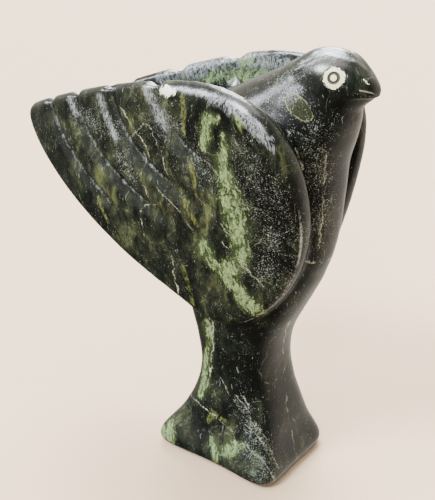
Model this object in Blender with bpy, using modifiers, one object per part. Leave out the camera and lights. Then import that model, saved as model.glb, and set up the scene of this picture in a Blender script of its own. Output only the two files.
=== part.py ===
# Stone bird carving with two raised wings on a flared foot, cut from one block.
# Run with: blender --background --python part.py
# Units are metres in the scene. The sizes below are millimetres.
# +X is the way the bird looks, +Y is its left, +Z is up.
# The origin is the centre of the flat underside of the foot.

import bpy
import bmesh
import numpy as np
from math import acos, cos, pi, radians, sin, sqrt

MM = 0.001

# Foot and body
FOOT_EDGE_RADIUS = 6.0
FOOT_EDGE_HEIGHT = 7.0
# Stations up the body: height, middle along X, half length, half width, squareness,
# and how far the right and left sides are hollowed between the corners
BODY_STATIONS = [
    (7.0, 0.0, 54.0, 44.2, 5.4, 0.13),
    (10.5, 0.2, 53.2, 43.4, 5.3, 0.13),
    (18.0, 1.4, 49.2, 40.6, 4.9, 0.12),
    (27.0, 3.4, 44.2, 37.2, 4.2, 0.10),
    (38.0, 5.2, 39.8, 34.0, 3.6, 0.06),
    (50.0, 6.0, 35.4, 31.6, 3.1, 0.02),
    (64.0, 5.8, 31.6, 29.6, 2.8, 0.0),
    (80.0, 4.6, 29.8, 28.8, 2.7, 0.0),
    (95.0, 3.4, 31.8, 29.2, 2.6, 0.0),
    (110.0, 2.8, 36.6, 30.0, 2.5, 0.0),
    (122.0, 3.0, 42.4, 30.2, 2.45, 0.0),
    (140.0, 4.0, 50.4, 30.2, 2.4, 0.0),
    (157.0, 5.0, 57.3, 30.4, 2.3, 0.0),
    (175.0, 7.0, 61.2, 31.0, 2.25, 0.0),
    (196.0, 8.0, 63.7, 32.5, 2.2, 0.0),
    (214.0, 9.0, 64.0, 35.0, 2.15, 0.0),
    (234.0, 15.0, 58.8, 38.5, 2.1, 0.0),
    (248.0, 24.0, 53.4, 37.5, 2.05, 0.0),
    (260.0, 30.0, 50.8, 33.5, 2.0, 0.0),
    (270.0, 37.0, 44.0, 28.5, 2.0, 0.0),
    (279.0, 45.0, 35.5, 23.5, 2.0, 0.0),
    (288.0, 54.0, 25.5, 18.0, 2.0, 0.0),
    (295.0, 58.0, 18.0, 13.0, 2.0, 0.0),
    (300.0, 60.0, 10.0, 7.0, 2.0, 0.0),
]

# Head, lofted forward along X: place, underside, top, half width
HEAD_STATIONS = [
    (34.0, 262.0, 288.5, 16.0),
    (42.0, 257.0, 296.0, 19.5),
    (52.0, 255.0, 301.4, 20.6),
    (62.0, 256.0, 302.8, 20.0),
    (71.0, 260.0, 301.4, 18.0),
    (78.0, 265.0, 298.2, 15.2),
    (84.0, 269.6, 293.6, 11.6),
    (89.0, 273.6, 288.6, 7.8),
    (92.0, 276.6, 285.2, 4.8),
]
BEAK_TIP = (93.6, 281.0)

# Wings: overall span across both, and length of each from lobe to tip
WING_SPAN = 114.0
WING_LENGTH = 263.0
WING_EDGE_RADIUS = 5.5
WING_HALF_THICKNESS = 6.0
# The lobe is thicker toward the chest, so no deep crack is left beside it
LOBE_EXTRA = 5.0

# Wing outlines in the XZ plane, each as (x, z). The two were cut a little unalike.
RIGHT_WING = {
    "side": -1.0,
    "crest": (5.0, 283.0),
    "front": (70.0, 217.0),
    "bottom": (-8.0, 114.0),
    "tip": (70.0 - WING_LENGTH, 232.0),
    "bow": 1.45,
    "curl": 8.0,
}
LEFT_WING = {
    "side": 1.0,
    "crest": (2.0, 288.0),
    "front": (66.0, 229.0),
    "bottom": (-8.0, 115.0),
    "tip": (73.0 - WING_LENGTH, 227.0),
    "bow": 1.3,
    "curl": 9.0,
}
UPPER_FRONT_SQUARENESS = 2.5
LOWER_FRONT_SQUARENESS = 2.05
# The trailing edge bows down toward the lobe, and is lifted a little just behind it
TRAIL_BOW = 0.57
TRAIL_LIFT = 0.33
WING_CROWN = 2.5
WING_CENTRE = (-22.0, 203.0)

# Plan of the wings: distance of the wing's middle sheet from the mirror plane
SPREAD_FRONT = 0.5 * WING_SPAN - 0.5 * WING_HALF_THICKNESS
SPREAD_AT = 45.0
SPREAD_SLOPE = 0.125
SPREAD_CURVE = 0.000255
LOW_SPREAD = 27.5
LOW_SPREAD_TIP = 9.0
# The wings lean outward from this height up to the rim
FLARE_FROM = 120.0
FLARE_POWER = 1.1
# The lobe's front edge curls in toward the chest: from and over this much of X,
# all of it below the first height and none of it above the second
CURL_FROM_X = 5.0
CURL_OVER_X = 55.0
CURL_FULL_BELOW = 185.0
CURL_NONE_ABOVE = 260.0

# Back between the wings, lofted along X: place, top of the ridge, squareness,
# and how far its side stops short of the wing's middle sheet
BACK_STATIONS = [
    (40.0, 284.0, 2.2, 34.0),
    (24.0, 284.0, 2.2, 28.0),
    (8.0, 277.5, 2.2, 19.0),
    (-8.0, 270.5, 2.3, 9.0),
    (-22.0, 264.0, 2.4, 2.5),
    (-44.0, 254.5, 2.7, 1.0),
    (-66.0, 247.5, 3.0, 1.0),
    (-90.0, 241.5, 3.2, 1.0),
    (-115.0, 236.5, 3.4, 1.0),
    (-140.0, 231.5, 3.4, 1.0),
    (-162.0, 228.0, 3.2, 1.0),
    (-182.0, 227.0, 3.0, 1.0),
]
# The back's underside is this much above the wings' trailing edges, and never lower
# than the height given
BACK_RECESS = 4.5
BACK_LOWEST = 128.0

# Feather grooves: start above the rim, bend and end as (x, z), then half width and depth
GROOVES = [
    ((-34.0, 285.0), (-40.0, 244.0), (20.0, 231.0), 6.0, 4.4),
    ((-80.0, 276.0), (-83.0, 221.0), (14.0, 202.0), 6.2, 4.6),
    ((-124.0, 263.0), (-116.0, 204.0), (-12.0, 183.0), 6.0, 4.4),
    ((-158.0, 252.0), (-148.0, 202.0), (-60.0, 170.0), 5.4, 3.8),
]
GROOVE_REACH_INSIDE = 26.0

VOXEL = 2.0
TRIANGLES = 9400


def clamp01(t):
    return min(max(t, 0.0), 1.0)


def ease(t):
    t = clamp01(t)
    return t * t * (3.0 - 2.0 * t)


def spow(value, power):
    return abs(value) ** power * (1.0 if value >= 0.0 else -1.0)


def smooth_table(rows, at):
    """Monotone cubic reading of a table whose first column increases."""
    rows = np.array(rows, dtype=float)
    x = rows[:, 0]
    y = rows[:, 1:]
    step = np.diff(x)[:, None]
    slope = np.diff(y, axis=0) / step
    tangent = np.zeros_like(y)
    tangent[0] = slope[0]
    tangent[-1] = slope[-1]
    same = slope[:-1] * slope[1:] > 0.0
    harmonic = 2.0 * slope[:-1] * slope[1:] / np.where(same, slope[:-1] + slope[1:], 1.0)
    tangent[1:-1] = np.where(same, harmonic, 0.0)
    k = int(np.clip(np.searchsorted(x, at) - 1, 0, len(x) - 2))
    span = x[k + 1] - x[k]
    t = min(max((at - x[k]) / span, 0.0), 1.0)
    h00 = 2 * t ** 3 - 3 * t ** 2 + 1
    h10 = t ** 3 - 2 * t ** 2 + t
    h01 = -2 * t ** 3 + 3 * t ** 2
    h11 = t ** 3 - t ** 2
    return h00 * y[k] + h10 * span * tangent[k] + h01 * y[k + 1] + h11 * span * tangent[k + 1]


def shaped_ball(name, segments, rings, place):
    """A UV sphere whose vertices are moved to place(u, v); v = 0 and 1 are the poles."""
    bpy.ops.mesh.primitive_uv_sphere_add(segments=segments, ring_count=rings, radius=1.0)
    ball = bpy.context.object
    ball.name = name
    for vertex in ball.data.vertices:
        v = 1.0 - acos(min(max(vertex.co.z, -1.0), 1.0)) / pi
        turn = np.arctan2(vertex.co.y, vertex.co.x) / (2.0 * pi)
        u = (round(turn * segments) % segments) / segments
        ring = round(v * rings)
        x, y, z = place(u, ring / rings)
        vertex.co = (x * MM, y * MM, z * MM)
    return ball


def outward(obj):
    """Point every face of a closed shape outward."""
    mesh = bmesh.new()
    mesh.from_mesh(obj.data)
    bmesh.ops.recalc_face_normals(mesh, faces=mesh.faces)
    mesh.to_mesh(obj.data)
    mesh.free()


def keep_largest(obj):
    """Drop the few voxel crumbs, so that one shell is left."""
    mesh = bmesh.new()
    mesh.from_mesh(obj.data)
    left = set(mesh.verts)
    shells = []
    while left:
        seed = left.pop()
        shell = [seed]
        reach = [seed]
        while reach:
            for edge in reach.pop().link_edges:
                for vertex in edge.verts:
                    if vertex in left:
                        left.remove(vertex)
                        shell.append(vertex)
                        reach.append(vertex)
        shells.append(shell)
    shells.sort(key=len)
    for shell in shells[:-1]:
        bmesh.ops.delete(mesh, geom=shell, context="VERTS")
    mesh.to_mesh(obj.data)
    mesh.free()


def ease_folds(obj, limit):
    """Level the odd folded facet that thinning leaves on the smooth surface."""
    mesh = bmesh.new()
    mesh.from_mesh(obj.data)
    for turn in range(6):
        folded = set()
        for edge in mesh.edges:
            if len(edge.link_faces) == 2 and edge.calc_face_angle(0.0) > limit:
                folded.update(edge.verts)
        if not folded:
            break
        bmesh.ops.smooth_vert(mesh, verts=list(folded), factor=0.5, use_axis_x=True, use_axis_y=True, use_axis_z=True)
        mesh.normal_update()
    mesh.to_mesh(obj.data)
    mesh.free()


# Body: rounded-square sections from the foot up into the head

def body_section(z):
    if z < FOOT_EDGE_HEIGHT:
        foot = BODY_STATIONS[0]
        down = min(FOOT_EDGE_HEIGHT - z, FOOT_EDGE_RADIUS)
        inset = FOOT_EDGE_RADIUS - sqrt(FOOT_EDGE_RADIUS ** 2 - down ** 2)
        return foot[1], foot[2] - inset, foot[3] - inset, foot[4], foot[5]
    return smooth_table(BODY_STATIONS, z)


def body_place(u, v):
    rings = 96
    ring = round(v * rings)
    low = -8.0
    high = BODY_STATIONS[-1][0]
    if ring == 0:
        return 0.0, 0.0, low
    if ring == rings:
        return BODY_STATIONS[-1][1], 0.0, high + 0.6
    if ring <= 12:
        z = low + (FOOT_EDGE_HEIGHT - low) * (ring - 1) / 11.0
    else:
        z = FOOT_EDGE_HEIGHT + (high - FOOT_EDGE_HEIGHT) * (ring - 12) / (rings - 1 - 12)
    middle, half_x, half_y, square, hollow = body_section(z)
    a = 2.0 * pi * u
    across = spow(cos(a), 2.0 / square)
    aside = spow(sin(a), 2.0 / square)
    x = middle + half_x * across * (1.0 - 0.4 * hollow * (1.0 - aside * aside))
    y = half_y * aside * (1.0 - hollow * (1.0 - across * across))
    return x, y, z


# Head: rounded sections from the nape to the beak

def head_place(u, v):
    rings = 40
    ring = round(v * rings)
    first = HEAD_STATIONS[0]
    if ring == 0:
        return first[0] - 3.0, 0.0, 0.5 * (first[1] + first[2])
    if ring == rings:
        return BEAK_TIP[0], 0.0, BEAK_TIP[1]
    t = (ring - 1) / (rings - 2)
    x = first[0] + (HEAD_STATIONS[-1][0] - first[0]) * t
    under, top, half = smooth_table(HEAD_STATIONS, x)
    a = 2.0 * pi * u
    y = half * spow(cos(a), 2.0 / 2.15)
    z = 0.5 * (under + top) + 0.5 * (top - under) * spow(sin(a), 2.0 / 2.15)
    return x, y, z


# Wing: a sheet with a round edge, bent to the plan

def trail_share(w):
    """Share of the drop from tip to lobe at a share w of the length."""
    return w ** TRAIL_BOW * (1.0 - TRAIL_LIFT * w ** 4 * (1.0 - w))


def wing_outline(wing, count):
    """Evenly spaced points round the wing, starting at the crest of the rim."""
    crest = wing["crest"]
    front = wing["front"]
    bottom = wing["bottom"]
    tip = wing["tip"]
    points = []
    for k in range(60):
        a = 0.5 * pi * k / 60
        x = crest[0] + (front[0] - crest[0]) * sin(a) ** (2.0 / UPPER_FRONT_SQUARENESS)
        z = front[1] + (crest[1] - front[1]) * cos(a) ** (2.0 / UPPER_FRONT_SQUARENESS)
        points.append((x, z))
    for k in range(60):
        a = 0.5 * pi * k / 60
        x = bottom[0] + (front[0] - bottom[0]) * cos(a) ** (2.0 / LOWER_FRONT_SQUARENESS)
        z = front[1] + (bottom[1] - front[1]) * sin(a) ** (2.0 / LOWER_FRONT_SQUARENESS)
        points.append((x, z))
    for k in range(80):
        w = 1.0 - k / 80
        x = tip[0] + (bottom[0] - tip[0]) * w
        z = tip[1] + (bottom[1] - tip[1]) * trail_share(w)
        points.append((x, z))
    for k in range(80):
        w = 1.0 - k / 80
        x = crest[0] + (tip[0] - crest[0]) * w
        z = crest[1] + (tip[1] - crest[1]) * w ** wing["bow"]
        points.append((x, z))
    loop = np.array(points)
    for passes in range(3):
        loop = even_loop(loop, 400)
        for k in range(14):
            loop = 0.5 * loop + 0.25 * np.roll(loop, 1, axis=0) + 0.25 * np.roll(loop, -1, axis=0)
    return even_loop(loop, count)


def even_loop(loop, count):
    closed = np.vstack([loop, loop[:1]])
    length = np.concatenate([[0.0], np.cumsum(np.linalg.norm(np.diff(closed, axis=0), axis=1))])
    want = np.linspace(0.0, length[-1], count, endpoint=False)
    return np.column_stack([np.interp(want, length, closed[:, 0]), np.interp(want, length, closed[:, 1])])


def inset_loop(loop, distance):
    ahead = np.roll(loop, -1, axis=0) - np.roll(loop, 1, axis=0)
    ahead /= np.linalg.norm(ahead, axis=1)[:, None]
    inward = np.column_stack([ahead[:, 1], -ahead[:, 0]])
    return loop + inward * distance


def rim_height(wing, x):
    crest = wing["crest"]
    tip = wing["tip"]
    w = clamp01((crest[0] - x) / (crest[0] - tip[0]))
    return crest[1] + (tip[1] - crest[1]) * w ** wing["bow"]


def trail_height(wing, x):
    bottom = wing["bottom"]
    tip = wing["tip"]
    w = clamp01((x - tip[0]) / (bottom[0] - tip[0]))
    return tip[1] + (bottom[1] - tip[1]) * trail_share(w)


def wing_spread(wing, x, z):
    """Distance of the wing's middle sheet from the mirror plane."""
    back = SPREAD_AT - x
    rim = SPREAD_FRONT - SPREAD_SLOPE * max(back, -12.0) - SPREAD_CURVE * back * back
    tip = clamp01((-50.0 - x) / 143.0) ** 1.5
    low = LOW_SPREAD + (LOW_SPREAD_TIP - LOW_SPREAD) * tip
    level = clamp01((z - FLARE_FROM) / (rim_height(wing, x) - FLARE_FROM)) ** FLARE_POWER
    inward = wing["curl"] * clamp01((x - CURL_FROM_X) / CURL_OVER_X) ** 2
    height = (z - CURL_FULL_BELOW) / (CURL_NONE_ABOVE - CURL_FULL_BELOW)
    return low + (rim - low) * level - inward * (1.0 - ease(height))


WING_SEGMENTS = 220
WING_RINGS = 48


def wing_place(wing):
    outline = wing_outline(wing, WING_SEGMENTS)
    side = wing["side"]
    centre = np.array(WING_CENTRE)
    arc_rings = 6
    half = WING_RINGS // 2

    def place(u, v):
        ring = round(v * WING_RINGS)
        step = abs(ring - half)
        face = 1.0 if ring > half else -1.0
        k = round(u * WING_SEGMENTS) % WING_SEGMENTS
        if step <= arc_rings:
            a = 0.5 * pi * step / arc_rings
            loop = inset_loop(outline, WING_EDGE_RADIUS * (1.0 - cos(a)))
            x, z = loop[k]
            offset = WING_HALF_THICKNESS * sin(a)
        else:
            t = (step - arc_rings) / (half - arc_rings)
            loop = inset_loop(outline, WING_EDGE_RADIUS)
            x, z = loop[k] + (centre - loop[k]) * t
            crown = WING_CROWN * (1.0 - (1.0 - t) ** 2) if face > 0 else 0.0
            offset = WING_HALF_THICKNESS + crown
        if face < 0.0:
            offset *= 1.0 + LOBE_EXTRA / WING_HALF_THICKNESS * ease((x - 34.0) / 20.0)
        y = wing_spread(wing, x, z) + face * offset
        return x, side * y, z

    return place


# Back: fills the space between the wings, lower than the rims

def back_place(u, v):
    rings = 60
    ring = round(v * rings)
    table = sorted(BACK_STATIONS)
    first = table[0]
    last = table[-1]
    if ring == 0:
        return first[0] - 2.0, 0.0, 0.5 * (first[1] + trail_height(RIGHT_WING, first[0]) + BACK_RECESS)
    if ring == rings:
        return last[0] + 2.0, 0.0, 0.5 * (last[1] + 140.0)
    x = first[0] + (last[0] - first[0]) * (ring - 1) / (rings - 2)
    top, square, gap = smooth_table(table, x)
    low = trail_height(RIGHT_WING, min(x, RIGHT_WING["bottom"][0])) + BACK_RECESS
    low = max(low, BACK_LOWEST)
    a = 2.0 * pi * u
    z = 0.5 * (low + top) + 0.5 * (top - low) * spow(sin(a), 2.0 / square)
    wing = LEFT_WING if cos(a) > 0.0 else RIGHT_WING
    half = max(wing_spread(wing, x, z) - gap, 3.0)
    y = half * spow(cos(a), 2.0 / square)
    return x, y, z


# Grooves: how far the surface is cut back at a point of a wing

def bend(groove, t):
    start, middle, end = np.array(groove[0]), np.array(groove[1]), np.array(groove[2])
    return (1 - t) ** 2 * start + 2 * t * (1 - t) * middle + t * t * end


def groove_depths(xz):
    depth = np.zeros(len(xz))
    for groove in GROOVES:
        line = np.array([bend(groove, t) for t in np.linspace(0.0, 1.0, 120)])
        gap = np.linalg.norm(xz[:, None, :] - line[None, :, :], axis=2)
        nearest = gap.argmin(axis=1)
        away = gap.min(axis=1)
        along = nearest / 119.0
        fade = 1.0 - np.clip((along - 0.55) / 0.45, 0.0, 1.0) ** 2
        width = groove[3]
        cut = np.where(away < 1.6 * width, np.cos(np.clip(away / (1.6 * width), 0, 1) * pi / 2) ** 2, 0.0)
        start = 0.5 + 0.5 * np.clip(along / 0.18, 0.0, 1.0)
        depth = np.maximum(depth, groove[4] * cut * fade * start)
    return depth


def carve(obj):
    """Cut the grooves into both wings by moving vertices inward."""
    mesh = obj.data
    count = len(mesh.vertices)
    co = np.zeros(count * 3)
    mesh.vertices.foreach_get("co", co)
    co = co.reshape(-1, 3) / MM
    normal = np.zeros(count * 3)
    mesh.vertices.foreach_get("normal", normal)
    normal = normal.reshape(-1, 3)
    chosen = np.where((co[:, 0] < 30.0) & (co[:, 2] > 118.0) & (np.abs(co[:, 1]) > 4.0))[0]
    depth = groove_depths(co[chosen][:, [0, 2]])
    for k, index in enumerate(chosen):
        if depth[k] <= 0.01:
            continue
        x, y, z = co[index]
        wing = LEFT_WING if y > 0.0 else RIGHT_WING
        sheet = (abs(y) - wing_spread(wing, x, z)) / WING_HALF_THICKNESS
        inner = ease((z - (rim_height(wing, x) - GROOVE_REACH_INSIDE)) / 12.0) * ease((sheet + 1.9) / 0.6)
        outer = ease((sheet + 0.6) / 0.9)
        share = max(outer, inner)
        co[index] -= normal[index] * depth[k] * share
    mesh.vertices.foreach_set("co", (co * MM).ravel())
    mesh.update()


def apply_all(obj):
    bpy.ops.object.select_all(action="DESELECT")
    bpy.context.view_layer.objects.active = obj
    obj.select_set(True)
    for modifier in list(obj.modifiers):
        bpy.ops.object.modifier_apply(modifier=modifier.name)


def stone_material():
    material = bpy.data.materials.new("polished serpentine")
    material.use_nodes = True
    shader = material.node_tree.nodes["Principled BSDF"]
    shader.inputs["Base Color"].default_value = (0.030, 0.042, 0.032, 1.0)
    shader.inputs["Roughness"].default_value = 0.38
    shader.inputs["IOR"].default_value = 1.56
    material.diffuse_color = (0.10, 0.13, 0.10, 1.0)
    return material


def build():
    for obj in list(bpy.data.objects):
        bpy.data.objects.remove(obj, do_unlink=True)
    scene = bpy.context.scene
    home = bpy.data.collections.new("stone_bird_carving")
    cutters = bpy.data.collections.new("cutters")
    scene.collection.children.link(home)
    scene.collection.children.link(cutters)
    cutters.hide_render = True

    pieces = [
        shaped_ball("body", 96, 96, body_place),
        shaped_ball("head", 64, 40, head_place),
        shaped_ball("back", 64, 60, back_place),
        shaped_ball("wing_right", WING_SEGMENTS, WING_RINGS, wing_place(RIGHT_WING)),
        shaped_ball("wing_left", WING_SEGMENTS, WING_RINGS, wing_place(LEFT_WING)),
    ]
    for piece in pieces:
        outward(piece)
    bpy.ops.object.select_all(action="DESELECT")
    for piece in pieces:
        piece.select_set(True)
    bpy.context.view_layer.objects.active = pieces[0]
    bpy.ops.object.join()
    bird = bpy.context.object
    bird.name = "stone_bird"
    bird.data.name = "stone_bird"

    skin = bird.modifiers.new("one skin", "REMESH")
    skin.mode = "VOXEL"
    skin.voxel_size = VOXEL * MM
    soft = bird.modifiers.new("rubbed", "SMOOTH")
    soft.factor = 0.5
    soft.iterations = 3
    apply_all(bird)
    keep_largest(bird)
    carve(bird)

    after = bird.modifiers.new("rubbed again", "SMOOTH")
    after.factor = 0.5
    after.iterations = 2
    apply_all(bird)
    thin = bird.modifiers.new("facets", "DECIMATE")
    thin.ratio = TRIANGLES / sum(len(p.vertices) - 2 for p in bird.data.polygons)
    apply_all(bird)
    ease_folds(bird, radians(62.0))

    bpy.ops.mesh.primitive_cube_add(size=1.0, location=(0.0, 0.0, -0.05))
    block = bpy.context.object
    block.name = "underside_cutter"
    block.scale = (0.3, 0.3, 0.1)
    block.display_type = "WIRE"
    block.hide_render = True
    for holder in list(block.users_collection):
        holder.objects.unlink(block)
    cutters.objects.link(block)
    flat = bird.modifiers.new("flat underside", "BOOLEAN")
    flat.operation = "DIFFERENCE"
    flat.solver = "EXACT"
    flat.object = block
    apply_all(bird)

    tidy = bmesh.new()
    tidy.from_mesh(bird.data)
    bmesh.ops.dissolve_degenerate(tidy, dist=0.00002, edges=tidy.edges)
    bmesh.ops.triangulate(tidy, faces=tidy.faces)
    tidy.to_mesh(bird.data)
    tidy.free()

    for holder in list(bird.users_collection):
        holder.objects.unlink(bird)
    home.objects.link(bird)
    bird.data.materials.clear()
    bird.data.materials.append(stone_material())
    return bird


build()
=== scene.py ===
from math import cos, pi, radians, sin

import bmesh
import bpy
import numpy as np
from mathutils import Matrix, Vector, noise


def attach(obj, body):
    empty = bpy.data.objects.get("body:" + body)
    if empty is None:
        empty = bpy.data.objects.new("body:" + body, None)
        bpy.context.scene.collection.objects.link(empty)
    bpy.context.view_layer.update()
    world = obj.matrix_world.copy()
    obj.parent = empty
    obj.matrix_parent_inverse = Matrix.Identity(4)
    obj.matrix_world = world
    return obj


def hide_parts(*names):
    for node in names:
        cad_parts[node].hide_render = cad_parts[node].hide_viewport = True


# A bird with two raised wings, carved from one block of dark green serpentine, rubbed
# smooth and waxed. The shape is the CAD solid's own shape, made finer, so it replaces the
# CAD node. The bevel of the rims, the brows, the drawn-in jaw, the eyes, the mouth and the
# unevenness of a surface rubbed by hand are added here.
# Sizes are millimetres, turned to metres where a mesh or a node takes them.

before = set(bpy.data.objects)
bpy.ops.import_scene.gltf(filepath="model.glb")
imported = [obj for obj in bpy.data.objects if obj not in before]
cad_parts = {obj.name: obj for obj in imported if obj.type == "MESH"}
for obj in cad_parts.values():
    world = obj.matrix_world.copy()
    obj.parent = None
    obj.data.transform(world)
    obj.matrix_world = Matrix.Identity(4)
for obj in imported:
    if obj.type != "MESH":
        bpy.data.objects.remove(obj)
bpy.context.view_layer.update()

MM = 0.001

# Shape, from the same named sizes as the solid

FOOT_EDGE_RADIUS = 6.0
FOOT_EDGE_HEIGHT = 7.0
# Up the body: height, middle along X, half length, half width, squareness, side hollow
BODY_STATIONS = [
    (7.0, 0.0, 54.0, 44.2, 5.4, 0.13),
    (10.5, 0.2, 53.2, 43.4, 5.3, 0.13),
    (18.0, 1.4, 49.2, 40.6, 4.9, 0.12),
    (27.0, 3.4, 44.2, 37.2, 4.2, 0.10),
    (38.0, 5.2, 39.8, 34.0, 3.6, 0.06),
    (50.0, 6.0, 35.4, 31.6, 3.1, 0.02),
    (64.0, 5.8, 31.6, 29.6, 2.8, 0.0),
    (80.0, 4.6, 29.8, 28.8, 2.7, 0.0),
    (95.0, 3.4, 31.8, 29.2, 2.6, 0.0),
    (110.0, 2.8, 36.6, 30.0, 2.5, 0.0),
    (122.0, 3.0, 42.4, 30.2, 2.45, 0.0),
    (140.0, 4.0, 50.4, 30.2, 2.4, 0.0),
    (157.0, 5.0, 57.3, 30.4, 2.3, 0.0),
    (175.0, 7.0, 61.2, 31.0, 2.25, 0.0),
    (196.0, 8.0, 63.7, 32.5, 2.2, 0.0),
    (214.0, 9.0, 64.0, 35.0, 2.15, 0.0),
    (234.0, 15.0, 58.8, 38.5, 2.1, 0.0),
    (248.0, 24.0, 53.4, 37.5, 2.05, 0.0),
    (260.0, 30.0, 50.8, 33.5, 2.0, 0.0),
    (270.0, 37.0, 44.0, 28.5, 2.0, 0.0),
    (279.0, 45.0, 35.5, 23.5, 2.0, 0.0),
    (288.0, 54.0, 25.5, 18.0, 2.0, 0.0),
    (295.0, 58.0, 18.0, 13.0, 2.0, 0.0),
    (300.0, 60.0, 10.0, 7.0, 2.0, 0.0),
]
# Along the head: place, underside, top, half width
HEAD_STATIONS = [
    (34.0, 262.0, 288.5, 16.0),
    (42.0, 257.0, 296.0, 19.5),
    (52.0, 255.0, 301.4, 20.6),
    (62.0, 256.0, 302.8, 20.0),
    (71.0, 260.0, 301.4, 18.0),
    (78.0, 265.0, 298.2, 15.2),
    (84.0, 269.6, 293.6, 11.6),
    (89.0, 273.6, 288.6, 7.8),
    (92.0, 276.6, 285.2, 4.8),
]
BEAK_TIP = (93.6, 281.0)
HEAD_SQUARENESS = 2.15

WING_SPAN = 114.0
WING_LENGTH = 263.0
WING_EDGE_RADIUS = 5.5
WING_HALF_THICKNESS = 6.0
# The outer face rolls over to the front and top edge in a broad bevel, up to a crease inside.
# The bevel is fullest where the edge faces forwards and up, and it runs out behind the crest
BEVEL_WIDTH = 11.0
BEVEL_POWER = 1.25
BEVEL_LEAN = 3.8
BEVEL_FACES = (0.5, 0.87)
BEVEL_FROM_X = -45.0
BEVEL_OVER_X = 45.0
# The front lobe is thicker inside, where it nears the breast
LOBE_EXTRA = 5.0
LOBE_FROM_X = 34.0
LOBE_OVER_X = 20.0
RIGHT_WING = {
    "side": -1.0,
    "crest": (5.0, 283.0),
    "front": (70.0, 217.0),
    "bottom": (-8.0, 114.0),
    "tip": (70.0 - WING_LENGTH, 232.0),
    "bow": 1.45,
    "curl": 8.0,
}
LEFT_WING = {
    "side": 1.0,
    "crest": (2.0, 288.0),
    "front": (66.0, 229.0),
    "bottom": (-8.0, 115.0),
    "tip": (73.0 - WING_LENGTH, 227.0),
    "bow": 1.3,
    "curl": 9.0,
}
UPPER_FRONT_SQUARENESS = 2.5
LOWER_FRONT_SQUARENESS = 2.05
TRAIL_BOW = 0.57
TRAIL_LIFT = 0.33
WING_CROWN = 2.5
WING_CENTRE = (-22.0, 203.0)
WING_SEGMENTS = 320
WING_RINGS = 64
WING_ARC_RINGS = 9
# Steps of the outline's arcs and straighter runs, and how its corners are rubbed off
OUTLINE_ARC_STEPS = 60
OUTLINE_TRAIL_STEPS = 80
OUTLINE_POINTS = 400
OUTLINE_ROUNDS = 3
OUTLINE_RUBS = 14

SPREAD_FRONT = 0.5 * WING_SPAN - 0.5 * WING_HALF_THICKNESS
SPREAD_AT = 45.0
SPREAD_MOST_AHEAD = 12.0
SPREAD_SLOPE = 0.125
SPREAD_CURVE = 0.000255
LOW_SPREAD = 27.5
LOW_SPREAD_TIP = 9.0
LOW_NARROWS_FROM_X = -50.0
LOW_NARROWS_OVER_X = 143.0
LOW_NARROWS_POWER = 1.5
FLARE_FROM = 120.0
FLARE_POWER = 1.1
CURL_FROM_X = 5.0
CURL_OVER_X = 55.0
CURL_FULL_BELOW = 185.0
CURL_NONE_ABOVE = 260.0

# Along the back between the wings: place, ridge top, squareness, gap to the wing's sheet
BACK_STATIONS = [
    (-182.0, 227.0, 3.0, 1.0),
    (-162.0, 228.0, 3.2, 1.0),
    (-140.0, 231.5, 3.4, 1.0),
    (-115.0, 236.5, 3.4, 1.0),
    (-90.0, 241.5, 3.2, 1.0),
    (-66.0, 247.5, 3.0, 1.0),
    (-44.0, 254.5, 2.7, 1.0),
    (-22.0, 264.0, 2.4, 2.5),
    (-8.0, 270.5, 2.3, 9.0),
    (8.0, 277.5, 2.2, 19.0),
    (24.0, 284.0, 2.2, 28.0),
    (40.0, 284.0, 2.2, 34.0),
]
BACK_RECESS = 4.5
BACK_LOWEST = 128.0
BACK_LEAST_HALF_WIDTH = 3.0
BACK_FRONT_LOW = 140.0

# Feather grooves: start above the rim, bend and end as (x, z), then half width and depth
GROOVES = [
    ((-34.0, 285.0), (-40.0, 244.0), (20.0, 231.0), 6.0, 4.4),
    ((-80.0, 276.0), (-83.0, 221.0), (14.0, 202.0), 6.2, 4.6),
    ((-124.0, 263.0), (-116.0, 204.0), (-12.0, 183.0), 6.0, 4.4),
    ((-158.0, 252.0), (-148.0, 202.0), (-60.0, 170.0), 5.4, 3.8),
]
GROOVE_STEPS = 160
# Times the half width, how far a groove's steeper front wall and its back wall reach
GROOVE_FRONT_REACH = 1.35
GROOVE_BACK_REACH = 1.75
# Shares of its length where it reaches full depth and where it starts to fade
GROOVE_FULL_FROM = 0.18
GROOVE_FADES_FROM = 0.55
GROOVE_AT_RIM = 0.5
# The part of a wing that has grooves, and how far they reach down its inner face
GROOVED_BEHIND_X = 30.0
GROOVED_ABOVE_Z = 118.0
GROOVED_BEYOND_Y = 4.0
GROOVE_REACH_INSIDE = 26.0
GROOVE_FADE_INSIDE = 12.0

# Each eye is a scraped pale disc with a drilled ring round a dot, on this centre and axis
EYE_CENTRE = (71.9, 16.2, 289.4)
EYE_AXIS = (0.24, 0.93, 0.29)
EYE_DISC = 6.1
EYE_DISC_DEPTH = 0.30
EYE_RING = 2.75
EYE_RING_WIDTH = 0.95
EYE_RING_DEPTH = 0.55
EYE_REACH = 9.0
EYE_SCALLOP = 4.2
# The mouth is one cut on each side, from its corner to the beak's tip
MOUTH = [(86.0, 9.9, 282.1), (88.0, 8.2, 281.5), (90.2, 6.1, 280.8), (92.2, 2.6, 279.7), (92.9, 0.0, 279.2)]
MOUTH_DEPTH = 0.85
MOUTH_HALF_WIDTH = 1.0
# How far round an eye or mouth the mesh is made finer
FINER_ROUND_EYE = 2.5
FINER_ROUND_MOUTH = 3.5

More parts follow.
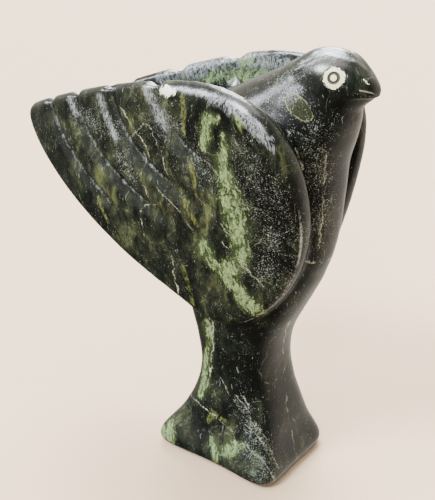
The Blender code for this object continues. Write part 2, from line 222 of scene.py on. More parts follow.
# A low brow runs over each eye, with a hollow above it
BROW = [(46.0, 17.5, 290.5), (52.3, 15.4, 294.3), (57.1, 12.7, 297.8), (62.8, 10.0, 299.9),
        (67.8, 9.4, 299.4), (74.1, 7.4, 298.4), (79.0, 5.0, 296.4), (84.0, 2.5, 292.8)]
BROW_RISE = 0.55
BROW_HALF_WIDTH = 3.0
BROW_HOLLOW = [(56.0, 8.0, 300.4), (62.8, 5.4, 301.6), (69.9, 5.0, 301.0), (75.0, 3.4, 299.6)]
BROW_HOLLOW_DEPTH = 0.65
BROW_HOLLOW_HALF_WIDTH = 2.8
JAW_FROM_X = 76.0
JAW_OVER_X = 10.0
JAW_BELOW_Z = 279.5
JAW_OVER_Z = 5.0
JAW_LIFT = 2.4
JAW_NARROWING = 0.12

# Height and length of the waves that rasp and rubbing left, which die out at the underside
RUBBED_WAVES = [(0.20, 24.0), (0.10, 9.0), (0.03, 3.2)]
RUBBED_FROM_Z = 1.5
RUBBED_OVER_Z = 4.0

# The parts are fused in voxels of this size. Finer ones give more than 200,000 triangles.
# Smoothing passes follow, some after the fusing and some after the grooves are cut
VOXEL = 1.54
SKIN_RUBS = 4
GROOVE_RUBS = 2


def ease(t):
    t = np.clip(t, 0.0, 1.0)
    return t * t * (3.0 - 2.0 * t)


def signed_power(value, power):
    return np.abs(value) ** power * np.sign(value)


def crossing(gap, reach):
    """The rounded section of a groove or ridge: 1 on its line, and 0 from its reach on."""
    return np.cos(np.clip(gap / reach, -1.0, 1.0) * pi / 2) ** 2


def smooth_table(rows, at):
    """Monotone cubic reading of a table, at one place or at many."""
    rows = np.array(rows, dtype=float)
    x = rows[:, 0]
    y = rows[:, 1:]
    slope = np.diff(y, axis=0) / np.diff(x)[:, None]
    tangent = np.zeros_like(y)
    tangent[0] = slope[0]
    tangent[-1] = slope[-1]
    same = slope[:-1] * slope[1:] > 0.0
    joined = 2.0 * slope[:-1] * slope[1:] / np.where(same, slope[:-1] + slope[1:], 1.0)
    tangent[1:-1] = np.where(same, joined, 0.0)
    at = np.atleast_1d(np.asarray(at, dtype=float))
    k = np.clip(np.searchsorted(x, at) - 1, 0, len(x) - 2)
    span = (x[k + 1] - x[k])[:, None]
    t = np.clip((at[:, None] - x[k][:, None]) / span, 0.0, 1.0)
    before = (2 * t ** 3 - 3 * t ** 2 + 1) * y[k] + (t ** 3 - 2 * t ** 2 + t) * span * tangent[k]
    after = (-2 * t ** 3 + 3 * t ** 2) * y[k + 1] + (t ** 3 - t ** 2) * span * tangent[k + 1]
    return (before + after).T


def points_of(obj):
    co = np.zeros(len(obj.data.vertices) * 3)
    obj.data.vertices.foreach_get("co", co)
    return co.reshape(-1, 3)


def normals_of(obj):
    normal = np.zeros(len(obj.data.vertices) * 3)
    obj.data.vertices.foreach_get("normal", normal)
    return normal.reshape(-1, 3)


def set_points(obj, co):
    obj.data.vertices.foreach_set("co", np.ascontiguousarray(co).ravel())
    obj.data.update()


def shaped_ball(name, segments, rings, place):
    """A ball whose vertices are moved to place(turn, ring), with the poles at its ends."""
    bpy.ops.mesh.primitive_uv_sphere_add(segments=segments, ring_count=rings, radius=1.0)
    ball = bpy.context.object
    ball.name = name
    co = points_of(ball)
    ring = np.rint((1.0 - np.arccos(np.clip(co[:, 2], -1.0, 1.0)) / pi) * rings).astype(int)
    turn = np.rint(np.arctan2(co[:, 1], co[:, 0]) / (2.0 * pi) * segments).astype(int) % segments
    set_points(ball, place(turn, ring) * MM)
    bpy.ops.object.mode_set(mode="EDIT")
    bpy.ops.mesh.select_all(action="SELECT")
    bpy.ops.mesh.normals_make_consistent(inside=False)
    bpy.ops.object.mode_set(mode="OBJECT")
    return ball


BODY_SEGMENTS = 128
BODY_RINGS = 128
BODY_EDGE_RINGS = 14
BODY_LOW = -8.0


def body_place(turn, ring):
    high = BODY_STATIONS[-1][0]
    low_part = BODY_LOW + (FOOT_EDGE_HEIGHT - BODY_LOW) * (ring - 1) / (BODY_EDGE_RINGS - 1.0)
    rest = BODY_RINGS - 1.0 - BODY_EDGE_RINGS
    high_part = FOOT_EDGE_HEIGHT + (high - FOOT_EDGE_HEIGHT) * (ring - BODY_EDGE_RINGS) / rest
    z = np.where(ring <= BODY_EDGE_RINGS, low_part, high_part)
    middle, half_x, half_y, square, hollow = smooth_table(BODY_STATIONS, z)
    down = np.clip(FOOT_EDGE_HEIGHT - z, 0.0, FOOT_EDGE_RADIUS)
    inset = FOOT_EDGE_RADIUS - np.sqrt(FOOT_EDGE_RADIUS ** 2 - down ** 2)
    a = 2.0 * pi * turn / BODY_SEGMENTS
    across = signed_power(np.cos(a), 2.0 / square)
    aside = signed_power(np.sin(a), 2.0 / square)
    x = middle + (half_x - inset) * across * (1.0 - 0.4 * hollow * (1.0 - aside * aside))
    y = (half_y - inset) * aside * (1.0 - hollow * (1.0 - across * across))
    placed = np.column_stack([x, y, z])
    placed[ring == 0] = (0.0, 0.0, BODY_LOW)
    placed[ring == BODY_RINGS] = (BODY_STATIONS[-1][1], 0.0, high + 0.6)
    return placed


HEAD_SEGMENTS = 96
HEAD_RINGS = 56


def head_place(turn, ring):
    first = HEAD_STATIONS[0]
    x = first[0] + (HEAD_STATIONS[-1][0] - first[0]) * (ring - 1) / (HEAD_RINGS - 2)
    under, top, half = smooth_table(HEAD_STATIONS, x)
    a = 2.0 * pi * turn / HEAD_SEGMENTS
    y = half * signed_power(np.cos(a), 2.0 / HEAD_SQUARENESS)
    z = 0.5 * (under + top) + 0.5 * (top - under) * signed_power(np.sin(a), 2.0 / HEAD_SQUARENESS)
    placed = np.column_stack([x, y, z])
    placed[ring == 0] = (first[0] - 3.0, 0.0, 0.5 * (first[1] + first[2]))
    placed[ring == HEAD_RINGS] = (BEAK_TIP[0], 0.0, BEAK_TIP[1])
    return placed


def trail_share(w):
    return w ** TRAIL_BOW * (1.0 - TRAIL_LIFT * w ** 4 * (1.0 - w))


def even_loop(loop, count):
    closed = np.vstack([loop, loop[:1]])
    length = np.concatenate([[0.0], np.cumsum(np.linalg.norm(np.diff(closed, axis=0), axis=1))])
    want = np.linspace(0.0, length[-1], count, endpoint=False)
    return np.column_stack([np.interp(want, length, closed[:, 0]), np.interp(want, length, closed[:, 1])])


def inward_of(loop):
    ahead = np.roll(loop, -1, axis=0) - np.roll(loop, 1, axis=0)
    ahead /= np.linalg.norm(ahead, axis=1)[:, None]
    return np.column_stack([ahead[:, 1], -ahead[:, 0]])


def inset_loop(loop, distance):
    return loop + inward_of(loop) * np.reshape(distance, (-1, 1))


def bevel_share(loop):
    """How far the edge is bevelled rather than round: fully at the front of the rim."""
    facing = -inward_of(loop) @ np.array(BEVEL_FACES)
    return ease((facing - 0.1) / 0.6) * ease((loop[:, 0] - BEVEL_FROM_X) / BEVEL_OVER_X)


def wing_outline(wing):
    """Evenly spaced points round the wing as (x, z), starting at the crest of the rim."""
    crest, front, bottom, tip = (np.array(wing[k]) for k in ("crest", "front", "bottom", "tip"))
    a = 0.5 * pi * np.arange(OUTLINE_ARC_STEPS) / OUTLINE_ARC_STEPS
    w = 1.0 - np.arange(OUTLINE_TRAIL_STEPS) / OUTLINE_TRAIL_STEPS
    upper = 2.0 / UPPER_FRONT_SQUARENESS
    lower = 2.0 / LOWER_FRONT_SQUARENESS
    loop = np.vstack([
        np.column_stack([crest[0] + (front[0] - crest[0]) * np.sin(a) ** upper,
                         front[1] + (crest[1] - front[1]) * np.cos(a) ** upper]),
        np.column_stack([bottom[0] + (front[0] - bottom[0]) * np.cos(a) ** lower,
                         front[1] + (bottom[1] - front[1]) * np.sin(a) ** lower]),
        np.column_stack([tip[0] + (bottom[0] - tip[0]) * w,
                         tip[1] + (bottom[1] - tip[1]) * trail_share(w)]),
        np.column_stack([crest[0] + (tip[0] - crest[0]) * w,
                         crest[1] + (tip[1] - crest[1]) * w ** wing["bow"]]),
    ])
    for turn in range(OUTLINE_ROUNDS):
        loop = even_loop(loop, OUTLINE_POINTS)
        for rub in range(OUTLINE_RUBS):
            loop = 0.5 * loop + 0.25 * np.roll(loop, 1, axis=0) + 0.25 * np.roll(loop, -1, axis=0)
    return even_loop(loop, WING_SEGMENTS)


def rim_height(wing, x):
    crest, tip = wing["crest"], wing["tip"]
    w = np.clip((crest[0] - x) / (crest[0] - tip[0]), 0.0, 1.0)
    return crest[1] + (tip[1] - crest[1]) * w ** wing["bow"]


def trail_height(wing, x):
    bottom, tip = wing["bottom"], wing["tip"]
    w = np.clip((x - tip[0]) / (bottom[0] - tip[0]), 0.0, 1.0)
    return tip[1] + (bottom[1] - tip[1]) * trail_share(w)


def wing_spread(wing, x, z):
    """Distance of the wing's middle sheet from the mirror plane."""
    back = SPREAD_AT - x
    rim = SPREAD_FRONT - SPREAD_SLOPE * np.maximum(back, -SPREAD_MOST_AHEAD) - SPREAD_CURVE * back * back
    narrowed = np.clip((LOW_NARROWS_FROM_X - x) / LOW_NARROWS_OVER_X, 0.0, 1.0) ** LOW_NARROWS_POWER
    low = LOW_SPREAD + (LOW_SPREAD_TIP - LOW_SPREAD) * narrowed
    level = np.clip((z - FLARE_FROM) / (rim_height(wing, x) - FLARE_FROM), 0.0, 1.0) ** FLARE_POWER
    inward = wing["curl"] * np.clip((x - CURL_FROM_X) / CURL_OVER_X, 0.0, 1.0) ** 2
    height = (z - CURL_FULL_BELOW) / (CURL_NONE_ABOVE - CURL_FULL_BELOW)
    return low + (rim - low) * level - inward * (1.0 - ease(height))


def wing_place(wing):
    outline = wing_outline(wing)
    bevel = bevel_share(outline)
    half = WING_RINGS // 2
    grid = np.zeros((WING_RINGS + 1, WING_SEGMENTS, 3))
    for ring in range(WING_RINGS + 1):
        step = abs(ring - half)
        outer = ring > half
        share = bevel if outer else 0.0 * bevel
        width = WING_EDGE_RADIUS + (BEVEL_WIDTH - WING_EDGE_RADIUS) * share
        power = 1.0 + (BEVEL_POWER - 1.0) * share
        lean = BEVEL_LEAN * bevel
        if step <= WING_ARC_RINGS:
            a = 0.5 * pi * step / WING_ARC_RINGS
            x, z = inset_loop(outline, width * (1.0 - cos(a) ** power)).T
            turned = sin(a) ** power
            offset = WING_HALF_THICKNESS * turned + (lean if not outer else -lean) * (1.0 - turned)
        else:
            t = (step - WING_ARC_RINGS) / (half - WING_ARC_RINGS)
            edge = inset_loop(outline, width)
            x, z = (edge + (np.array(WING_CENTRE) - edge) * t).T
            offset = WING_HALF_THICKNESS + (WING_CROWN * (1.0 - (1.0 - t) ** 2) if outer else 0.0)
        if not outer:
            lobe = ease((x - LOBE_FROM_X) / LOBE_OVER_X)
            offset = -offset * (1.0 + LOBE_EXTRA / WING_HALF_THICKNESS * lobe)
        grid[ring] = np.column_stack([x, wing["side"] * (wing_spread(wing, x, z) + offset), z])
    return lambda turn, ring: grid[ring, turn]


BACK_SEGMENTS = 96
BACK_RINGS = 80


def back_place(turn, ring):
    first = BACK_STATIONS[0]
    last = BACK_STATIONS[-1]
    x = first[0] + (last[0] - first[0]) * (ring - 1) / (BACK_RINGS - 2)
    top, square, gap = smooth_table(BACK_STATIONS, x)
    low = trail_height(RIGHT_WING, np.minimum(x, RIGHT_WING["bottom"][0])) + BACK_RECESS
    low = np.maximum(low, BACK_LOWEST)
    a = 2.0 * pi * turn / BACK_SEGMENTS
    z = 0.5 * (low + top) + 0.5 * (top - low) * signed_power(np.sin(a), 2.0 / square)
    spread = np.where(np.cos(a) > 0.0, wing_spread(LEFT_WING, x, z), wing_spread(RIGHT_WING, x, z))
    y = np.maximum(spread - gap, BACK_LEAST_HALF_WIDTH) * signed_power(np.cos(a), 2.0 / square)
    placed = np.column_stack([x, y, z])
    first_low = trail_height(RIGHT_WING, first[0]) + BACK_RECESS
    placed[ring == 0] = (first[0] - 2.0, 0.0, 0.5 * (first[1] + first_low))
    placed[ring == BACK_RINGS] = (last[0] + 2.0, 0.0, 0.5 * (last[1] + BACK_FRONT_LOW))
    return placed


def groove_line(groove, shares):
    """Points (x, z) of a groove, which curves from its start past its bend to its end."""
    start, middle, end = (np.array(place) for place in groove[:3])
    t = shares[:, None]
    return (1 - t) ** 2 * start + 2 * t * (1 - t) * middle + t * t * end


def groove_depth(x, z):
    """How deep the grooves are at a place of a wing. Their front walls are the steeper ones."""
    place = np.column_stack([x, z])
    depth = np.zeros(len(place))
    for groove in GROOVES:
        width, full = groove[3:]
        line = groove_line(groove, np.linspace(0.0, 1.0, GROOVE_STEPS))
        ahead = np.gradient(line, axis=0)
        gap = np.linalg.norm(place[:, None, :] - line[None, :, :], axis=2)
        nearest = gap.argmin(axis=1)
        away = place - line[nearest]
        tangent = ahead[nearest]
        front = away[:, 1] * tangent[:, 0] - away[:, 0] * tangent[:, 1] > 0.0
        reach = np.where(front, GROOVE_FRONT_REACH, GROOVE_BACK_REACH) * width
        along = nearest / (GROOVE_STEPS - 1.0)
        fade = 1.0 - np.clip((along - GROOVE_FADES_FROM) / (1.0 - GROOVE_FADES_FROM), 0.0, 1.0) ** 2
        at_rim = GROOVE_AT_RIM + (1.0 - GROOVE_AT_RIM) * np.clip(along / GROOVE_FULL_FROM, 0.0, 1.0)
        depth = np.maximum(depth, full * crossing(gap.min(axis=1), reach) * fade * at_rim)
    return depth


def cut_grooves(obj):
    co = points_of(obj) / MM
    x, y, z = co.T
    sink = np.zeros(len(co))
    for wing in (LEFT_WING, RIGHT_WING):
        on = (x < GROOVED_BEHIND_X) & (z > GROOVED_ABOVE_Z) & (y * wing["side"] > GROOVED_BEYOND_Y)
        # -1 on the inner face of the wing's sheet and 1 on the outer one
        sheet = (np.abs(y[on]) - wing_spread(wing, x[on], z[on])) / WING_HALF_THICKNESS
        inside_end = rim_height(wing, x[on]) - GROOVE_REACH_INSIDE
        inner = ease((z[on] - inside_end) / GROOVE_FADE_INSIDE) * ease((sheet + 1.9) / 0.6)
        outer = ease((sheet + 0.6) / 0.9)
        sink[on] = groove_depth(x[on], z[on]) * np.maximum(outer, inner)
    set_points(obj, (co - normals_of(obj) * sink[:, None]) * MM)


def apply_all(obj):
    bpy.ops.object.select_all(action="DESELECT")
    bpy.context.view_layer.objects.active = obj
    obj.select_set(True)
    for modifier in list(obj.modifiers):
        bpy.ops.object.modifier_apply(modifier=modifier.name)


def smoothed(obj, factor, passes):
    rub = obj.modifiers.new("rubbed", "SMOOTH")
    rub.factor = factor
    rub.iterations = passes
    apply_all(obj)


def keep_largest(obj):
    """Drop the few voxel crumbs, so that one shell is left."""
    mesh = bmesh.new()
    mesh.from_mesh(obj.data)
    left = set(mesh.verts)
    shells = []
    while left:
        shell = [left.pop()]
        for vertex in shell:
            for edge in vertex.link_edges:
                other = edge.other_vert(vertex)
                if other in left:
                    left.remove(other)
                    shell.append(other)
        shells.append(shell)
    shells.sort(key=len)
    for shell in shells[:-1]:
        bmesh.ops.delete(mesh, geom=shell, context="VERTS")
    mesh.to_mesh(obj.data)
    mesh.free()


def refine(obj, chosen, cuts, passes):
    """Divide the faces whose corners are all chosen, and round what that leaves flat."""
    bpy.ops.object.mode_set(mode="EDIT")
    bpy.ops.mesh.select_mode(type="VERT")
    bpy.ops.mesh.select_all(action="DESELECT")
    bpy.ops.object.mode_set(mode="OBJECT")
    obj.data.vertices.foreach_set("select", chosen)
    bpy.ops.object.mode_set(mode="EDIT")
    bpy.ops.mesh.select_mode(type="FACE")
    bpy.ops.mesh.subdivide(number_cuts=cuts, smoothness=0.0)
    bpy.ops.mesh.select_mode(type="VERT")
    bpy.ops.mesh.vertices_smooth(factor=0.5, repeat=passes)
    bpy.ops.object.mode_set(mode="OBJECT")


def on_left(co):
    """The points, with those on the bird's right mirrored to its left."""
    mirrored = co.copy()
    mirrored[:, 1] = np.abs(mirrored[:, 1])
    return mirrored


def eye_radius(co):
    """Distance from the axis of the eye on the point's own side, or infinite far down it."""
    axis = np.array(EYE_AXIS) / np.linalg.norm(EYE_AXIS)
    away = on_left(co) - np.array(EYE_CENTRE)
    along = away @ axis
    radius = np.linalg.norm(away - along[:, None] * axis, axis=1)
    return np.where(np.abs(along) > EYE_REACH, np.inf, radius)


def line_distance(co, line):
    """Distance to a bent line, with the nearest place on it and how far along that is."""
    best = np.full(len(co), 1e9)
    nearest = np.zeros_like(co)
    ahead = np.zeros_like(co)
    share = np.zeros(len(co))
    for k in range(len(line) - 1):
        a, b = np.array(line[k][:3]), np.array(line[k + 1][:3])
        step = b - a
        t = np.clip((co - a) @ step / (step @ step), 0.0, 1.0)
        place = a + t[:, None] * step
        gap = np.linalg.norm(co - place, axis=1)
        closer = gap < best
        best = np.where(closer, gap, best)
        nearest[closer] = place[closer]
        ahead[closer] = step / np.linalg.norm(step)
        share = np.where(closer, k + t, share)
    return best, nearest, ahead, share


def cut_face(obj):
    """Cut the eyes' scraped discs and drilled rings, and the mouth."""
    co = points_of(obj) / MM
    near_eye = eye_radius(co) < EYE_DISC + FINER_ROUND_EYE
    near_mouth = line_distance(on_left(co), MOUTH)[0] < FINER_ROUND_MOUTH
    refine(obj, near_eye | near_mouth, 3, 5)

    co = points_of(obj) / MM
    r = eye_radius(co)
    mouth, nearest, ahead, share = line_distance(on_left(co), MOUTH)
    disc = EYE_DISC_DEPTH * (1.0 - ease(r - EYE_DISC + 0.5))
    ring = EYE_RING_DEPTH * crossing(r - EYE_RING, 1.25 * EYE_RING_WIDTH)
    gape = MOUTH_DEPTH * crossing(mouth, MOUTH_HALF_WIDTH) * ease(share / 0.8)
    sink = np.maximum(disc + ring, gape)
    set_points(obj, (co - normals_of(obj) * sink[:, None]) * MM)


def shape_head(obj):
    """Draw in the jaw under the beak, and raise a brow over each eye with a hollow above it."""
    co = points_of(obj) / MM
    jaw = ease((co[:, 0] - JAW_FROM_X) / JAW_OVER_X) * ease((JAW_BELOW_Z - co[:, 2]) / JAW_OVER_Z)
    from_brow = line_distance(on_left(co), BROW)[0]
    from_hollow = line_distance(on_left(co), BROW_HOLLOW)[0]
    rise = BROW_RISE * crossing(from_brow, BROW_HALF_WIDTH)
    rise -= BROW_HOLLOW_DEPTH * crossing(from_hollow, BROW_HOLLOW_HALF_WIDTH)
    co += normals_of(obj) * rise[:, None]
    co[:, 1] *= 1.0 - JAW_NARROWING * jaw
    co[:, 2] += JAW_LIFT * jaw
    set_points(obj, co * MM)


def unevenness(obj):
    """The soft unevenness of a surface shaped by rasp and rubbed by hand."""
    co = points_of(obj) / MM
    normal = normals_of(obj)
    lift = np.zeros(len(co))
    for k, place in enumerate(co):
        p = Vector(place)
        lift[k] = sum(height * noise.noise(p / length) for height, length in RUBBED_WAVES)
    lift *= ease((co[:, 2] - RUBBED_FROM_Z) / RUBBED_OVER_Z)
    set_points(obj, (co + normal * lift[:, None]) * MM)


# Colour patches: each is a stroke of (x, y, z, radius) on the surface

PALE = [
    [(9.5, -53.1, 262, 3.4), (8.8, -52.2, 254, 4.8), (6.3, -51, 245, 2.8)],
    [(18.6, -54.4, 265.5, 3), (11, -53.5, 264, 3.4)],
    [(33.4, -56.4, 269.5, 2), (36.4, -56.2, 266.5, 2.2)],
    [(22.5, -53.9, 256.6, 2.2), (23.1, -52.8, 247.5, 3), (20.6, -51.4, 238.7, 4.6),
     (21.6, -50.4, 231.3, 6.6), (24, -49.1, 223.2, 6.6), (24, -47.8, 215.2, 8.2), (25.3, -46.4, 207.3, 7.8),
     (26.5, -44.8, 198.5, 7.2), (27.4, -43.1, 187.5, 5.2), (28, -41.7, 179, 5.6), (25.5, -40.6, 171.5, 5.4)],
    [(-1.2, -42.1, 177.5, 4.6), (0.5, -41.2, 171.3, 6.2), (4.7, -40.4, 165.1, 4.6),
     (10.7, -39.9, 161.6, 4.2)],
    [(25.5, -40.6, 171.5, 5.2), (17, -40, 163, 6.6), (15, -39.3, 159.1, 6.6), (19.8, -38.1, 153.6, 5.2)],
    [(23.4, -36.7, 149, 5.2), (28.1, -35.1, 142, 6.6), (33.3, -33.6, 137.9, 5.4), (36.7, -29.2, 133.4, 4)],
    [(-7, -29, 111.7, 3.6), (-5.6, -29.5, 104, 3.2), (-9, -28, 90, 2.4), (-12, -27, 77.7, 5),
     (-13.5, -26.6, 66, 5.6), (-13.2, -28, 57, 4.2), (-14.6, -28.6, 50, 3.4)],
    [(-45.9, -38.2, 9.7, 5), (-36.1, -39.2, 8.1, 4.6), (-40, -36, 18, 4.6)],
    [(0.2, -35.1, 20.6, 2.4), (4, -36.6, 14.5, 3.6), (6, -38, 8, 3)],
    [(14.5, -36.3, 17.4, 5), (20.2, -34.7, 22.8, 5.4), (25, -33.6, 26.6, 3)],
    [(-56, 31.8, 262.9, 3), (-44, 35, 266, 4), (-31, 37.5, 268.5, 5), (-18, 37.5, 268, 5), (-8, 38, 270, 4)],
    [(-30, 38.5, 276, 5), (-22, 38.5, 278, 4)],
    [(-20, 52, 262, 5), (-14, 51, 246, 8), (-4, 50, 226, 7), (-8, 47, 205, 8), (2, 43, 180, 5)],
    [(-22, 40, 158, 4), (-12, 37, 140, 7)],
    [(-42, 8, 30, 7), (-38, 14, 46, 5), (-28, 18, 70, 3)],
    [(28, 34, 24, 7), (14, 33, 34, 6)],
]
OCHRE = [
    [(-7.9, -46.8, 235.5, 2.4), (-4.5, -48.2, 229.5, 2.6), (-3.6, -47.5, 220.5, 2.2),
     (-4.1, -45.1, 210.5, 1.8)],
    [(-17.4, -42.5, 209.3, 3), (-15.2, -43.4, 205.4, 3.4), (-8.2, -44.2, 196.4, 2.8),
     (-4.8, -43.5, 189.5, 2)],
    [(-21.3, -38.2, 154.6, 1.8), (-20, -36.9, 145.6, 3), (-18.6, -35.6, 136.4, 2.6),
     (-16.5, -34.1, 126.5, 2)],
    [(-103, -32.4, 183, 2), (-98.4, -33, 173.1, 2.6), (-93.9, -33, 166.5, 2)],
    [(-9.5, -51.3, 277.5, 2), (-8.3, -51.2, 265.7, 2.6), (-9.5, -49.3, 249.7, 1.8)],
    [(-5, -33, 33, 2.8), (-2.3, -31.7, 41, 3.2), (9.3, -31.8, 39.1, 2.4)],
    [(34, -56.4, 268.5, 3.4), (37.5, -56.2, 263.5, 2.8)],
    [(62, -15.6, 294.4, 2), (65.4, -17.2, 291.8, 1.8)],
    [(27, -43.5, 190, 3.4), (22, -44, 180, 2.4)],
]
WHITE = [
    [(-30.8, -44.8, 272.3, 2), (-23.4, -48.8, 274.3, 3.9), (-17.7, -50, 275.6, 2.6)],
    [(86, -7.1, 288.9, 0.5), (87.4, -6.6, 287.6, 0.8), (88.6, -6, 286.2, 0.5)],
]
# An olive inclusion with a pale rim, on the side of the neck
OLIVE = [
    [(50, -24.8, 275.4, 3.8), (55, -25.4, 272, 5.6), (60.5, -24.6, 268.2, 4)],
]
# Mossy stone: between the veins, towards the tips and low on the foot
MOSS = [
    [(-10, -46, 232, 16), (2, -46, 215, 18), (6, -43, 190, 18), (0, -40, 160, 18), (10, -36, 135, 18)],
    [(-30, -46, 262, 12), (-60, -42, 235, 20), (-52, -40, 200, 24)],
    [(-100, -33, 215, 24), (-80, -36, 180, 22), (-40, -38, 152, 18)],
    [(-12, -28, 100, 9), (-14, -28, 60, 12)],
    [(-34, -36, 12, 14), (0, -36, 14, 12), (26, -36, 14, 12)],
    [(-70, 30, 262, 12), (-30, 37, 268, 14)],
    [(-20, 48, 250, 20), (-10, 45, 200, 24), (-60, 38, 200, 24)],
]
# Painted shade: the stone is drawn nearly black on the throat, chest, waist and the front of the lobe
PAINTED_SHADE = [
    [(76, -15, 268, 9), (66, -24, 258, 14), (70, -14, 240, 13), (69, -13, 220, 8)],
    [(38, -46, 235, 9), (50, -45, 215, 12), (50, -38, 185, 11)],
    [(26, -26.5, 116, 14), (26, -24, 95, 16), (24, -26, 72, 12)],
    [(14, -45, 172, 5), (20, -46, 190, 3)],
    [(14, -53, 252, 5), (16, -52, 242, 5)],
]
# Blue-grey bloom where fine white specks crowd together, which is partly a painted blue-grey sheen
BLOOM_AND_SHEEN = [
    [(-40, -45, 268, 7), (-30, -46, 260, 5)],
    [(-86, -40, 256, 5), (-78, -40, 240, 5), (-60, -41, 220, 5), (-40, -42, 202, 4)],
    [(-18, -47, 238, 6), (-6, -46, 224, 6), (8, -47, 214, 5)],
    [(-104, -33, 200, 5), (-80, -36, 184, 5)],
    [(38, -48, 238, 4), (45, -46, 222, 6), (40, -42, 196, 4)],
    [(62, -27, 222, 5), (66, -20, 206, 6)],
    [(30, -22, 284, 8), (42, -22, 282, 8), (52, -17, 293, 9)],
    [(-90, 28, 258, 10), (-50, 34, 270, 12), (-18, 38, 272, 12)],
    [(26, -30, 50, 5), (33, -31, 34, 8), (41, -34, 17, 7)],
    [(-12, -37, 24, 4), (6, -34, 28, 4)],
]
# Where the fine white specks are thickest
TALC = [
    [(38, -51, 250, 13), (48, -47, 228, 16), (52, -42, 202, 15), (42, -38, 172, 14)],
    [(-34, -45, 262, 12), (-8, -48, 250, 10), (4, -48, 228, 10)],
    [(-120, -32, 240, 8), (-84, -40, 240, 9), (-62, -40, 210, 8)],
    [(40, -22, 284, 12), (60, -20, 262, 9), (66, -18, 232, 10), (69, -12, 200, 12)],
    [(24, -30, 56, 8), (34, -32, 32, 16), (46, -32, 10, 12)],
    [(-80, 28, 258, 10), (-50, 33, 268, 12), (-20, 38, 272, 12), (4, 41, 276, 10)],
    [(20, 52, 250, 16), (46, 50, 210, 16), (-60, 40, 230, 12), (-30, 20, 40, 14)],
]
# The pale lip over the mouth's cut, on the left and the right
LIP_LEFT = [(85.6, 10.2, 283.2, 0.5), (88, 8.2, 282.5, 0.7), (90.4, 5.9, 281.7, 0.6), (92, 3.2, 280.7, 0.4)]
LIP = [LIP_LEFT, [(x, -y, z, radius) for x, y, z, radius in LIP_LEFT]]
# Healed cracks, each a thin pale line through these surface points
CRACKS = [
    [(54, -30.6, 254.6), (57.5, -29.4, 248.1), (59.7, -27, 240.6), (61, -27, 228)],
    [(-30.7, -37.3, 154.6), (-30.4, -36, 142), (-29.6, -34.5, 131.5)],
    [(-49.9, -39.3, 223.2), (-51.7, -42.5, 215.5), (-52.3, -42.3, 208.4), (-48.2, -41.5, 200)],
    [(-47, -38.7, 193), (-53.9, -38.7, 190.2), (-56.9, -39.7, 184.6), (-56.1, -38.8, 172.7)],
    [(-65.5, -43.1, 254.1), (-54.1, -44, 243.7), (-45.5, -44.6, 234.9), (-40, -43, 226)],
    [(63.3, -16.4, 172.9), (66.3, -3.4, 169.3), (64, 8, 170)],
    [(69.1, -16.2, 240.7), (68.9, -14.5, 221.6), (67.6, -13.4, 203.8), (66, -12, 186)],
    [(39.9, -5.3, 118), (36, 0, 96), (34.3, 3.9, 81.3), (38, 2, 61.3), (42.2, -2.3, 45.8),
     (46.3, -0.9, 25.2), (50.2, -0.7, 8)],
    [(-36, -16, 46), (-26.5, -25.5, 43.6), (-13.9, -30.9, 42.6), (-5, -31.7, 40.7), (5, -32, 38.3),
     (16.1, -32.7, 33.2), (20, -34, 26)],
    [(-3.1, -30.4, 114.6), (-3.7, -28.9, 96.1), (-5.7, -28.3, 74.1), (-9.4, -28.7, 58)],
    [(24.7, -28.3, 58.5), (29.9, -28.6, 47.8), (36.9, -28.3, 35.4)],
    [(34.2, -34.2, 25.6), (42.2, -32.9, 21.3), (47.4, -31.8, 15.3), (50.9, -31, 8.3)],
    [(-26, 48, 240), (-20, 47, 220), (-24, 44, 196), (-16, 42, 176)],
    [(-44, 0, 20), (-34, 6, 44), (-27, 4, 74), (-28, -6, 100)],
]
# Long scratches across the patches, drawn apart because they cross the cracks
SCRATCHES = [
    [(-2, -46.9, 239.7), (11.2, -48.7, 232.9), (19.5, -49.9, 228.7), (30.6, -49.2, 222.6)],
    [(2.4, -44.9, 205.7), (13.8, -45.1, 197.4), (22.3, -44, 188.2)],
    [(18.1, -41.5, 180), (28.6, -39.8, 169.6), (38.3, -37.1, 160.3)],
    [(-4.9, -43.1, 181.8), (-16.2, -43.5, 193.6), (-22.4, -43.7, 199), (-33.8, -43.7, 206.5)],
    [(-55.1, -44.3, 241.1), (-43.8, -45.7, 251.1), (-37.4, -46.3, 248)],
    [(-35.7, -46.2, 241.9), (-30.7, -46.3, 234.2), (-28, -46, 222.2)],
    [(6, -29.6, 68), (21.3, -29.9, 52.2), (34.5, -29.4, 39), (45.2, -27.9, 22.7)],
    [(16, -30, 64), (30, -28, 48), (42, -26, 32), (49, -25, 14)],
]
# Pale dust and scuffs that the cloth left, with painted highlights, in the notches, along the rim, on the far
# wing's inner face and on the crown
FROST_AND_HIGHLIGHT = [
    [(-40, -45, 272, 6), (-36, -44.5, 262, 5), (-28, -45, 250, 3.5)],
    [(-90, -38, 257, 5), (-84, -39, 246, 4), (-76, -40, 234, 3)],
    [(-128, -29, 249, 4), (-122, -31, 240, 3)],
    [(-14, -48.5, 277.5, 2.5), (8, -51, 277.5, 3), (24, -54, 275.5, 4.5), (38, -55, 270, 5),
     (50, -54.5, 262, 4), (58, -52.5, 253, 2.5)],
    [(-90, 27, 259, 8), (-55, 34, 272, 9), (-28, 38, 278, 9), (4, 42, 280, 5)],
    [(50, -15, 294, 3), (58, -10, 300, 4.5), (68, -7.5, 300.5, 5), (76, -5, 298.5, 3)],
]
STROKES = {"pale": PALE, "ochre": OCHRE, "white": WHITE, "olive": OLIVE, "moss": MOSS, "painted_shade": PAINTED_SHADE,
           "bloom_and_sheen": BLOOM_AND_SHEEN, "frost_and_highlight": FROST_AND_HIGHLIGHT, "talc": TALC, "lip": LIP}
PAINTED = (*STROKES, "edge", "hollow", "crack", "crack_near", "scratch", "scratch_near")
# How far from a crack or scratch its offsets are kept
LINE_REACH = 7.0
# A painted highlight: a pale line along the arris at the foot of the bevel, from below the crest round the
# lobe
ARRIS_INSET = 1.5
ARRIS_OUT = 2.5
ARRIS_RADIUS = 1.3
ARRIS_FROM_X = 2.0
ARRIS_BELOW_CREST = 6.0
